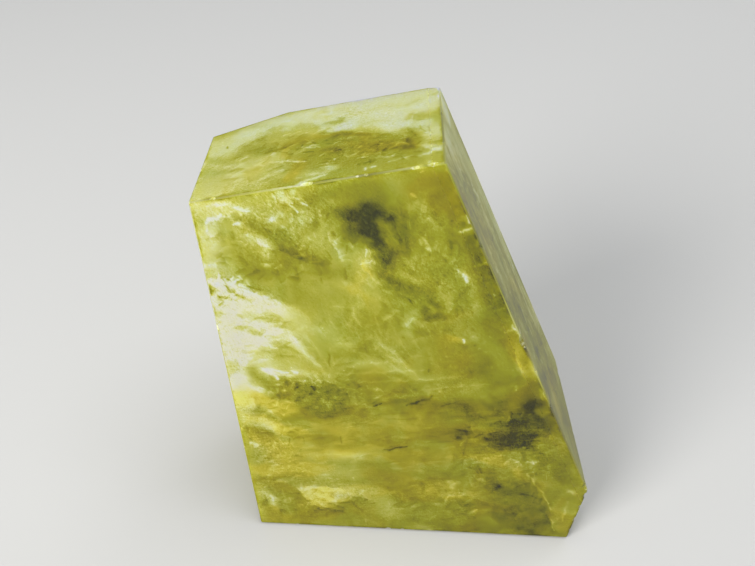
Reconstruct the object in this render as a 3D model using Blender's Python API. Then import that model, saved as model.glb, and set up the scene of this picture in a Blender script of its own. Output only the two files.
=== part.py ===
"""Citrine crystal: a leaning block of clear yellow quartz, cut flat underneath and hand polished.

The stone is one solid. It is shaped the way a lapidary shapes it: a rough block is ground to one
flat face after another, each face given by the way it looks (azimuth), its tilt and its reach from
the heart of the stone. Then every edge is broken with a hair-thin bevel, and the small shell-shaped
chips that the edges have taken since are scooped out.

Units are metres and +Z is up. The front face looks along -Y. The origin is at the middle of the
foot of the bounding box, and the stone rests on its sawn base at z = 0.
"""

import math
import random
from collections import namedtuple

import bmesh
import bpy
from mathutils import Matrix, Vector, noise

MM = 0.001

# ---- driving dimensions (millimetres and degrees) -------------------------------------------

ROUGH_BLOCK = 260.0       # side of the rough block that the faces are ground on
HEART = (0.0, 20.0, 38.0)  # the point that each face's reach is measured from
FRONT_LEAN = 12.0         # the front and rear faces lean back from upright, parallel to each other
FRONT_AZIMUTH = 266.8
SLAB_FRONT = 11.6         # heart to front face
SLAB_REAR = 16.1          # heart to rear face
SHOULDER_SLOPE = 24.75    # the right face slopes in towards the top
UNDERCUT_SLOPE = 13.1     # below it, the stone is cut in again towards the base
LEFT_OVERHANG = 6.3       # the left face hangs out a little above the base
CROWN_TILT = 78.6         # the top is nearly level and falls to the left
EDGE_BREAK = 0.28         # width of the bevel along every edge

CHIP_SEED = 11

Face = namedtuple("Face", "azimuth tilt reach")

# One line for each polished face. Azimuth turns anticlockwise from +X, seen from above, and a
# face with a negative tilt overhangs.
FACES = {
    "base": Face(0.0, -90.0, HEART[2]),
    "front": Face(FRONT_AZIMUTH, FRONT_LEAN, SLAB_FRONT),
    "top": Face(164.6, CROWN_TILT, 37.95),
    "right": Face(0.0, SHOULDER_SLOPE, 19.8),
    "lower_right": Face(6.1, -UNDERCUT_SLOPE, 36.35),
    "left": Face(178.3, -LEFT_OVERHANG, 34.4),
    "rear": Face(FRONT_AZIMUTH - 179.0, -FRONT_LEAN + 1.0, SLAB_REAR),
    "rear_right": Face(72.9, -3.2, 21.05),
    "rear_left": Face(107.8, -9.0, 24.35),
    "heel": Face(145.0, -32.0, 42.3),
}

# Each named edge lies between two faces and runs from one face that ends it to another.
EDGES = {
    "crown_front": ("top", "front", "left", "right"),
    "crown_right": ("top", "right", "front", "rear_right"),
    "crown_rear": ("top", "rear", "rear_right", "rear_left"),
    "crown_left": ("top", "left", "front", "rear_left"),
    "crown_rear_left": ("top", "rear_left", "rear", "left"),
    "front_right": ("front", "right", "top", "lower_right"),
    "front_undercut": ("front", "lower_right", "right", "base"),
    "front_left": ("front", "left", "top", "base"),
    "front_foot": ("front", "base", "left", "lower_right"),
    "right_belt": ("right", "lower_right", "front", "rear_right"),
    "right_foot": ("lower_right", "base", "front", "rear"),
    "rear_foot": ("rear", "base", "lower_right", "rear_left"),
    "left_foot": ("left", "base", "front", "heel"),
    "rear_left_upright": ("left", "rear_left", "top", "heel"),
}

Chip = namedtuple("Chip", "edge along length bite")

# The larger chips, one line each: where along the edge, how long and how deep.
CHIPS = (
    Chip("front_right", 0.155, 1.1, 0.26),
    Chip("front_right", 0.215, 1.6, 0.30),
    Chip("front_right", 0.495, 3.4, 0.62),
    Chip("front_right", 0.585, 1.2, 0.24),
    Chip("front_right", 0.70, 1.5, 0.26),
    Chip("front_right", 0.985, 2.2, 0.60),
    Chip("front_undercut", 0.10, 1.9, 0.55),
    Chip("front_undercut", 0.34, 1.5, 0.42),
    Chip("front_undercut", 0.60, 1.8, 0.46),
    Chip("front_undercut", 0.83, 1.1, 0.30),
    Chip("crown_front", 0.955, 2.6, 0.40),
    Chip("crown_front", 0.885, 2.0, 0.34),
    Chip("crown_front", 0.70, 1.0, 0.26),
    Chip("crown_front", 0.665, 0.8, 0.22),
    Chip("crown_front", 0.47, 3.0, 0.36),
    Chip("crown_front", 0.10, 1.6, 0.26),
    Chip("crown_right", 0.62, 1.2, 0.26),
    Chip("crown_right", 0.24, 0.9, 0.22),
    Chip("front_foot", 0.42, 1.5, 0.36),
    Chip("front_foot", 0.465, 1.1, 0.30),
    Chip("front_foot", 0.12, 1.0, 0.24),
    Chip("front_left", 0.34, 1.8, 0.30),
    Chip("front_left", 0.72, 1.3, 0.24),
    Chip("crown_left", 0.45, 1.4, 0.26),
    Chip("crown_rear", 0.22, 1.5, 0.30),
    Chip("crown_rear", 0.71, 2.2, 0.38),
    Chip("crown_rear_left", 0.5, 1.3, 0.26),
    Chip("right_belt", 0.42, 2.0, 0.34),
    Chip("right_belt", 0.88, 2.6, 0.50),
    Chip("right_foot", 0.35, 1.6, 0.34),
    Chip("right_foot", 0.78, 2.4, 0.46),
    Chip("rear_foot", 0.18, 2.2, 0.42),
    Chip("rear_foot", 0.55, 3.2, 0.55),
    Chip("rear_foot", 0.83, 1.4, 0.32),
    Chip("left_foot", 0.55, 2.2, 0.40),
    Chip("rear_left_upright", 0.30, 1.8, 0.32),
    Chip("rear_left_upright", 0.74, 2.6, 0.42),
)


# ---- the planes that the faces lie in -------------------------------------------------------


def outward(face_name):
    """Unit vector square to a face, pointing out of the stone."""
    face = FACES[face_name]
    azimuth = math.radians(face.azimuth)
    tilt = math.radians(face.tilt)
    level = math.cos(tilt)
    return Vector((level * math.cos(azimuth), level * math.sin(azimuth), math.sin(tilt)))


def foot_point(face_name):
    """The point of a face's plane that is nearest to the heart of the stone."""
    return (Vector(HEART) + outward(face_name) * FACES[face_name].reach) * MM


def corner(first, second, third):
    """The point where the planes of three faces meet."""
    names = (first, second, third)
    normals = Matrix([outward(name) for name in names])
    offsets = Vector([outward(name).dot(foot_point(name)) for name in names])
    return normals.inverted() @ offsets


# ---- shaping --------------------------------------------------------------------------------


def clear_scene():
    for old in list(bpy.data.objects):
        bpy.data.objects.remove(old, do_unlink=True)


def citrine_material():
    material = bpy.data.materials.new("citrine")
    material.use_nodes = True
    surface = material.node_tree.nodes["Principled BSDF"]
    surface.inputs["Base Color"].default_value = (0.56, 0.50, 0.10, 1.0)
    surface.inputs["Roughness"].default_value = 0.06
    surface.inputs["Metallic"].default_value = 0.0
    surface.inputs["IOR"].default_value = 1.544
    surface.inputs["Transmission Weight"].default_value = 1.0
    material.diffuse_color = (0.56, 0.50, 0.10, 1.0)
    return material


def grind_faces():
    """Grind a rough block down to the planes in FACES, one after another."""
    shape = bmesh.new()
    middle = Matrix.Translation(Vector(HEART) * MM)
    bmesh.ops.create_cube(shape, size=ROUGH_BLOCK * MM, matrix=middle)
    for name in FACES:
        everything = shape.verts[:] + shape.edges[:] + shape.faces[:]
        cut = bmesh.ops.bisect_plane(
            shape,
            geom=everything,
            dist=1e-7,
            plane_co=foot_point(name),
            plane_no=outward(name),
            clear_outer=True,
        )
        rim = [part for part in cut["geom_cut"] if isinstance(part, bmesh.types.BMEdge)]
        bmesh.ops.edgeloop_fill(shape, edges=rim)
    bmesh.ops.recalc_face_normals(shape, faces=shape.faces[:])
    mesh = bpy.data.meshes.new("crystal")
    shape.to_mesh(mesh)
    shape.free()
    return mesh


def scoop(shape, chip, dice):
    """Add one shell-shaped cutter that bites into an edge of the stone."""
    side_a, side_b, start, end = EDGES[chip.edge]
    first = corner(side_a, side_b, start)
    last = corner(side_a, side_b, end)
    along = (last - first).normalized()
    out = (outward(side_a) + outward(side_b)).normalized()
    # A chip opens more into one of the two faces than into the other.
    out = (out + dice.choice((outward(side_a), outward(side_b))) * dice.uniform(0.1, 0.6)).normalized()
    across = along.cross(out).normalized()
    out = across.cross(along).normalized()

    bite = chip.bite * MM
    ball = bite * dice.uniform(2.6, 3.4)
    reach_of_notch = math.sqrt(1.0 - ((ball - bite) / ball) ** 2)
    half_length = chip.length * MM / 2.0 / reach_of_notch
    centre = first.lerp(last, chip.along) + out * (ball - bite)
    turn = Matrix((along, across, out)).transposed().to_4x4()
    size = Matrix.Diagonal((half_length, ball * dice.uniform(0.9, 1.3), ball, 1.0))
    made = bmesh.ops.create_icosphere(shape, subdivisions=2, radius=1.0)
    spot = Vector([dice.uniform(-50.0, 50.0) for axis in range(3)])
    for vert in made["verts"]:
        swell = 1.0 + 0.16 * noise.noise(vert.co * 1.7 + spot)
        vert.co = Matrix.Translation(centre) @ turn @ size @ (vert.co * swell)


def chip_cutter():
    """All the scoops in one closed cutter."""
    dice = random.Random(CHIP_SEED)
    shape = bmesh.new()
    for chip in CHIPS:
        scoop(shape, chip, dice)
    bmesh.ops.recalc_face_normals(shape, faces=shape.faces[:])
    mesh = bpy.data.meshes.new("chip_scoops")
    shape.to_mesh(mesh)
    shape.free()
    cutter = bpy.data.objects.new("chip_scoops", mesh)
    cutter.hide_render = True
    cutter.display_type = "WIRE"
    bpy.context.scene.collection.objects.link(cutter)
    return cutter


def break_edges(crystal):
    bevel = crystal.modifiers.new("broken_edges", "BEVEL")
    bevel.width = EDGE_BREAK * MM
    bevel.segments = 2
    bevel.limit_method = "ANGLE"
    bevel.angle_limit = math.radians(5.0)


def take_chips(crystal, cutter):
    chips = crystal.modifiers.new("edge_chips", "BOOLEAN")
    chips.operation = "DIFFERENCE"
    chips.solver = "EXACT"
    chips.object = cutter


def stand_on_origin(crystal):
    """Move the stone so that the origin is at the middle of the foot of its box."""
    bpy.context.view_layer.update()
    finished = crystal.evaluated_get(bpy.context.evaluated_depsgraph_get())
    corners = [Vector(point) for point in finished.bound_box]
    low = Vector([min(point[axis] for point in corners) for axis in range(3)])
    high = Vector([max(point[axis] for point in corners) for axis in range(3)])
    crystal.location = (-(low.x + high.x) / 2.0, -(low.y + high.y) / 2.0, -low.z)


def build():
    clear_scene()
    crystal = bpy.data.objects.new("crystal", grind_faces())
    crystal.data.materials.append(citrine_material())
    bpy.context.scene.collection.objects.link(crystal)
    cutter = chip_cutter()
    cutter.parent = crystal
    break_edges(crystal)
    take_chips(crystal, cutter)
    stand_on_origin(crystal)
    return crystal


build()
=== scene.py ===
# %% [markdown]
# # A citrine crystal, one cell at a time
#
# The real thing is one stone: a leaning block of yellow quartz, sawn flat underneath and polished
# by hand on every other side. It is clear enough to look into and full of small faults, which are
# what makes it look like quartz and not like glass: milky clouds, healed cracks that flash white,
# smoky patches and dark needles.
#
# The faces already exist as an exact solid. This lesson dresses that solid: it nicks the edges,
# fills the faces with fine triangles, paints the faults on them and gives the quartz its haze.

# %% Load the stone's exact solid
import math
import random
from collections import namedtuple
from itertools import combinations

import bmesh
import bpy
import numpy as np
from mathutils import Matrix, Vector, noise
from mathutils.geometry import delaunay_2d_cdt


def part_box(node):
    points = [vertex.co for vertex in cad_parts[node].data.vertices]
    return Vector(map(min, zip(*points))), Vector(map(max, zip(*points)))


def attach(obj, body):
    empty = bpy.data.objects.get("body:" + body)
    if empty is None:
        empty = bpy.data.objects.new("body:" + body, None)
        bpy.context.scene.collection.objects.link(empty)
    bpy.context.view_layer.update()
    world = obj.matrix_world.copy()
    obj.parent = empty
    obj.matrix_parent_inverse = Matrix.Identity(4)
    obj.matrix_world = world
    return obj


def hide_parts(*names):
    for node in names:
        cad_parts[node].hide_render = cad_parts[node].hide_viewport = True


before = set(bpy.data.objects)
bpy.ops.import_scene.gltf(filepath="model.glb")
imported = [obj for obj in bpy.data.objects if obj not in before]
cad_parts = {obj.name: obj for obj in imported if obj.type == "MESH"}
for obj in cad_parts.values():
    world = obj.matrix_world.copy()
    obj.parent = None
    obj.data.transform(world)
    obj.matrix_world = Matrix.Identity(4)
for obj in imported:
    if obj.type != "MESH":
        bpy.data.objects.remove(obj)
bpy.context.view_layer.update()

MM = 0.001
SEED = 7
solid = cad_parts["crystal"]
low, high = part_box("crystal")
middle = (low + high) / 2.0
print("stone, mm:", [round(side / MM, 1) for side in high - low])

# %% [markdown]
# ## The floor, the light and the camera
#
# A see-through stone is only as bright as what stands around it. A pale floor and a pale room give
# it something even to show. A big soft lamp stands low on the left in front, because it is the
# front that has to glow, one hangs overhead for the nearly level top, and one stands behind on the
# right for the faces that turn away. All are wide, because light that has to find its way in
# through a polished face is grainy when it comes from a small lamp.

# %% Small helpers for the stage
scene = bpy.context.scene


def lamp(name, place, aim, size, watts, colour=(1.0, 1.0, 1.0)):
    """A square softbox at place that looks at aim."""
    light = bpy.data.lights.new(name, "AREA")
    light.size = size
    light.energy = watts
    light.color = colour
    holder = bpy.data.objects.new(name, light)
    holder.location = place
    holder.rotation_euler = (Vector(aim) - Vector(place)).to_track_quat("-Z", "Y").to_euler()
    scene.collection.objects.link(holder)
    return holder


# %% The floor and the room
FLOOR_SIZE = 6.0
FLOOR_GAP = 0.0003       # a film of air: the sawn base touches the floor in a few points only
FLOOR_TONE = (0.46, 0.46, 0.45)
FLOOR_ROUGHNESS = 0.75
ROOM_TONE = (0.88, 0.92, 1.0)
ROOM_STRENGTH = 0.36

floor_mesh = bpy.data.meshes.new("floor")
half = FLOOR_SIZE / 2.0
floor_mesh.from_pydata(
    [(-half, -half, 0.0), (half, -half, 0.0), (half, half, 0.0), (-half, half, 0.0)],
    [],
    [(0, 1, 2, 3)],
)
floor = bpy.data.objects.new("floor", floor_mesh)
floor.location.z = -FLOOR_GAP
scene.collection.objects.link(floor)
paint = bpy.data.materials.new("floor paint")
paint.use_nodes = True
matt = paint.node_tree.nodes["Principled BSDF"]
matt.inputs["Base Color"].default_value = (*FLOOR_TONE, 1.0)
matt.inputs["Roughness"].default_value = FLOOR_ROUGHNESS
floor_mesh.materials.append(paint)
print("floor, m:", FLOOR_SIZE, "tone", FLOOR_TONE)

room = bpy.data.worlds.new("room")
room.use_nodes = True
walls = room.node_tree.nodes["Background"]
walls.inputs["Color"].default_value = (*ROOM_TONE, 1.0)
walls.inputs["Strength"].default_value = ROOM_STRENGTH
scene.world = room
scene.view_settings.view_transform = "Standard"

# %% The lamps
WARM_WHITE = (1.0, 0.98, 0.94)

lamps = [
    lamp("front lamp", (-0.62, -0.56, 0.50), (0.0, 0.0, 0.03), 0.50, 12.4, WARM_WHITE),
    lamp("overhead lamp", (0.14, 0.06, 0.80), (0.0, 0.0, 0.05), 0.55, 4.4),
    lamp("rear lamp", (0.60, 0.62, 0.42), (0.0, 0.0, 0.04), 0.45, 1.2),
]
for holder in lamps:
    print(holder.name, "stands", round((holder.location - middle).length, 2), "m away")

# %% The camera looks down on the stone from close by
SENSOR = 36.0
FOCAL = 40.53            # both in millimetres: a little wider than a standard lens of 50
CAMERA_PLACE = Vector((-4.85, -117.2, 151.45)) * MM
LOOK_DOWN = math.radians(41.35)
NEAREST = 5.0 * MM       # the camera is close to the stone, so nothing nearer than this is cut away

lens = bpy.data.cameras.new("camera")
lens.sensor_width = SENSOR
lens.lens = FOCAL
lens.clip_start = NEAREST
camera = bpy.data.objects.new("camera", lens)
camera.location = CAMERA_PLACE
camera.rotation_euler = (math.pi / 2.0 - LOOK_DOWN, 0.0, 0.0)
scene.collection.objects.link(camera)
scene.camera = camera
print("camera to the stone, mm:", round((CAMERA_PLACE - middle).length / MM))

# %% [markdown]
# ## Finding the polished faces
#
# Everything that follows is placed on or behind a polished face, so the faces come first. They are
# read from the solid itself: triangles that look the same way belong together, and a group larger
# than a lentil is a polished face. The rest are bevels and chips. The planes could be typed in once
# more, but numbers that are read from the solid can't drift away from it.

# %% A pane is one polished face with its own ruler
FLAT_ENOUGH = 0.02 * MM  # how far a triangle may lie from the plane of its face
SAME_WAY = 0.9995        # and the cosine of how far it may look another way


def polygon_centre(polygon):
    """The middle of a polygon, of a mesh or of a bmesh."""
    if isinstance(polygon, bmesh.types.BMFace):
        return polygon.calc_center_median()
    return polygon.center


class Pane:
    """A polished face: measured across and up from the point nearest to the stone's middle."""

    def __init__(self, normal, point, hint):
        self.normal = normal
        self.offset = normal.dot(point)
        self.centre = middle + normal * (self.offset - normal.dot(middle))
        self.across = (hint - normal * hint.dot(normal)).normalized()
        self.up = normal.cross(self.across)

    def at(self, across, up):
        """The point so many millimetres across and up on the face."""
        return self.centre + (self.across * across + self.up * up) * MM

    def holds(self, polygon):
        """True for a polygon that lies in this face."""
        same_way = self.normal.dot(polygon.normal) > SAME_WAY
        return same_way and abs(self.normal.dot(polygon_centre(polygon)) - self.offset) < FLAT_ENOUGH


# %% Group the solid's triangles into planes
POLISHED_AREA = 20.0      # square millimetres
SIDES = {                 # the way a face looks, and the way its ruler runs across
    "front": ((0.0, -1.0, 0.2), (1.0, 0.0, 0.0)),
    "top": ((-0.1, 0.0, 1.0), (1.0, 0.0, 0.0)),
    "right": ((0.9, 0.0, 0.45), (0.0, 1.0, 0.0)),
    "undercut": ((0.95, 0.1, -0.25), (0.0, 1.0, 0.0)),
    "left": ((-1.0, 0.0, -0.1), (0.0, -1.0, 0.0)),
    "rear": ((0.0, 1.0, -0.2), (-1.0, 0.0, 0.0)),
    "rear_left": ((-0.3, 0.95, -0.15), (-1.0, 0.0, 0.0)),
    "rear_right": ((0.3, 0.95, -0.05), (-1.0, 0.0, 0.0)),
    "heel": ((-0.7, 0.5, -0.5), (-1.0, 0.0, 0.0)),
    "base": ((0.0, 0.0, -1.0), (1.0, 0.0, 0.0)),
}


def find_planes(mesh):
    """[normal, point, area] of every flat part of the mesh, the largest first."""
    planes = []
    for polygon in sorted(mesh.polygons, key=lambda one: -one.area):
        for plane in planes:
            same_way = plane[0].dot(polygon.normal) > SAME_WAY
            if same_way and abs(plane[0].dot(polygon.center - plane[1])) < FLAT_ENOUGH:
                plane[2] += polygon.area
                break
        else:
            planes.append([polygon.normal.copy(), polygon.center.copy(), polygon.area])
    return sorted(planes, key=lambda plane: -plane[2])


large = [plane for plane in find_planes(solid.data) if plane[2] > POLISHED_AREA * MM * MM]
polished = [(normal, point) for normal, point, area in large]
panes = {}
for side, (way, hint) in SIDES.items():
    normal, point = max(polished, key=lambda plane: plane[0].dot(Vector(way).normalized()))
    panes[side] = Pane(normal, point, Vector(hint))
print("polished faces, square mm:", [round(plane[2] / MM / MM) for plane in large])

# %% [markdown]
# ## The body
#
# The visible stone is a copy of the solid, so that every face stays exactly where it is. Years of
# handling have knocked small shell-shaped nicks out of its edges. Pushing the edges in with a
# displacement would be quicker, but it rounds them, and a nick in quartz has a sharp rim. So each
# one is cut with a Boolean.

# %% Where the edges run
LONG_WAY = 1.0           # metres: farther than any edge reaches
RUNS_ALONG = 1e-4        # a face with less slope than this against a line runs along it
SPLAY = 0.02             # two faces that differ less than this make no edge


def clip_line(anchor, along):
    """Where along a line the stone starts and ends."""
    start, end = -LONG_WAY, LONG_WAY
    for normal, point in polished:
        slope = normal.dot(along)
        gap = normal.dot(point - anchor)
        if slope > RUNS_ALONG:
            end = min(end, gap / slope)
        elif slope < -RUNS_ALONG:
            start = max(start, gap / slope)
        elif gap < -FLAT_ENOUGH:
            return 0.0, 0.0
    return start, end


def edge_lines():
    """Start, end and outward way of every line where two polished faces meet."""
    lines = []
    for (normal_a, point_a), (normal_b, point_b) in combinations(polished, 2):
        along = normal_a.cross(normal_b)
        if along.length > SPLAY:
            along.normalize()
            rows = Matrix((normal_a, normal_b, along))
            offsets = Vector((normal_a.dot(point_a), normal_b.dot(point_b), along.dot(middle)))
            anchor = rows.inverted() @ offsets
            start, end = clip_line(anchor, along)
            if end - start > MM:
                out = (normal_a + normal_b).normalized()
                lines.append((anchor + along * start, anchor + along * end, out))
    return lines


edges = edge_lines()
print("edges, mm:", [round((end - start).length / MM) for start, end, out in edges])

# %% Nick the edges
NICKS_PER_MM = 0.30
NICK_LENGTH = (0.06, 0.24)        # half the length, in millimetres
NICK_BITE = (0.03, 0.07)          # the depth
NICK_ROUGHNESS = 0.30             # how uneven a scoop is


def cut_nicks(body, dice):
    """Cut small uneven scoops out of all edges of the body."""
    scoops = bmesh.new()
    for start, end, out in edges:
        along = (end - start).normalized()
        count = int((end - start).length / MM * NICKS_PER_MM)
        for step in range(count):
            spot = start.lerp(end, (step + dice.uniform(0.05, 0.95)) / count)
            bite = dice.uniform(*NICK_BITE) * MM
            length = dice.uniform(*NICK_LENGTH) * MM
            ball = bite * dice.uniform(1.8, 3.0)
            outward = Matrix.Rotation(dice.uniform(-0.6, 0.6), 3, along) @ out
            across = along.cross(outward)
            axes = Matrix((along * length, across * ball, outward * ball)).transposed().to_4x4()
            axes.translation = spot + outward * (ball - bite)
            made = bmesh.ops.create_icosphere(scoops, subdivisions=1, radius=1.0)
            for vert in made["verts"]:
                uneven = dice.uniform(1.0 - NICK_ROUGHNESS, 1.0 + NICK_ROUGHNESS)
                vert.co = axes @ (vert.co * uneven)
    mesh = bpy.data.meshes.new("nick_scoops")
    scoops.to_mesh(mesh)
    scoops.free()
    cutter = bpy.data.objects.new("nick_scoops", mesh)
    scene.collection.objects.link(cutter)
    cutting = body.modifiers.new("nicks", "BOOLEAN")
    cutting.operation = "DIFFERENCE"
    cutting.solver = "EXACT"
    cutting.use_self = True
    cutting.object = cutter
    view = bpy.context.evaluated_depsgraph_get()
    view.update()
    nicked = bpy.data.meshes.new_from_object(body.evaluated_get(view))
    body.modifiers.clear()
    body.data = nicked
    bpy.data.objects.remove(cutter, do_unlink=True)
    bpy.data.meshes.remove(mesh)


body_mesh = solid.data.copy()
body_mesh.materials.clear()
body = bpy.data.objects.new("citrine_body", body_mesh)
scene.collection.objects.link(body)
cut_nicks(body, random.Random(SEED))
print("body after the nicks:", len(body.data.polygons), "polygons")

# %% [markdown]
# ## The colours
# Painted light rides on the milk too: shade along the edges, a sheen on the top, the glints of cracks and a
# lighter left side.
#
# Quartz doesn't take its colour evenly. All colours of this stone lie on one scale, and the scale is
# how milky the quartz is: smoke and deep olive where it is clear and dark, straw in the middle, lemon
# and white where it is full of tiny bubbles. So one number, the milk, says what a place looks like:
# -1 is smoke, 0 is straw and 1 is white. A second number says how warm it is, from sage to amber.
#
# Both numbers are laid on like watercolour. All marks are lenses: two ends on the ruler of a face,
# and half a width. A row of the tables says how much milk and warmth a mark adds, and then its
# lenses. An image wrapped round the stone would do the same, but it would blur close by, and it
# couldn't be read or changed by hand.
#
# Washes are broad and soft, and patches have a plain rim. Streaks are the cracks: thin, a little
# crooked, with a faint glow round them, because the haze spreads their light. The whitest are
# partly painted glints, the light that a crack throws back.

# %% Washes
Mark = namedtuple("Mark", "side milk warmth lenses")


def marks(side, rows):
    """The marks of one face."""
    return [Mark(side, milk, warmth, lenses) for milk, warmth, *lenses in rows]


def lens_count(group):
    """How many lenses some marks have together."""
    return sum(len(mark.lenses) for mark in group)


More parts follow.
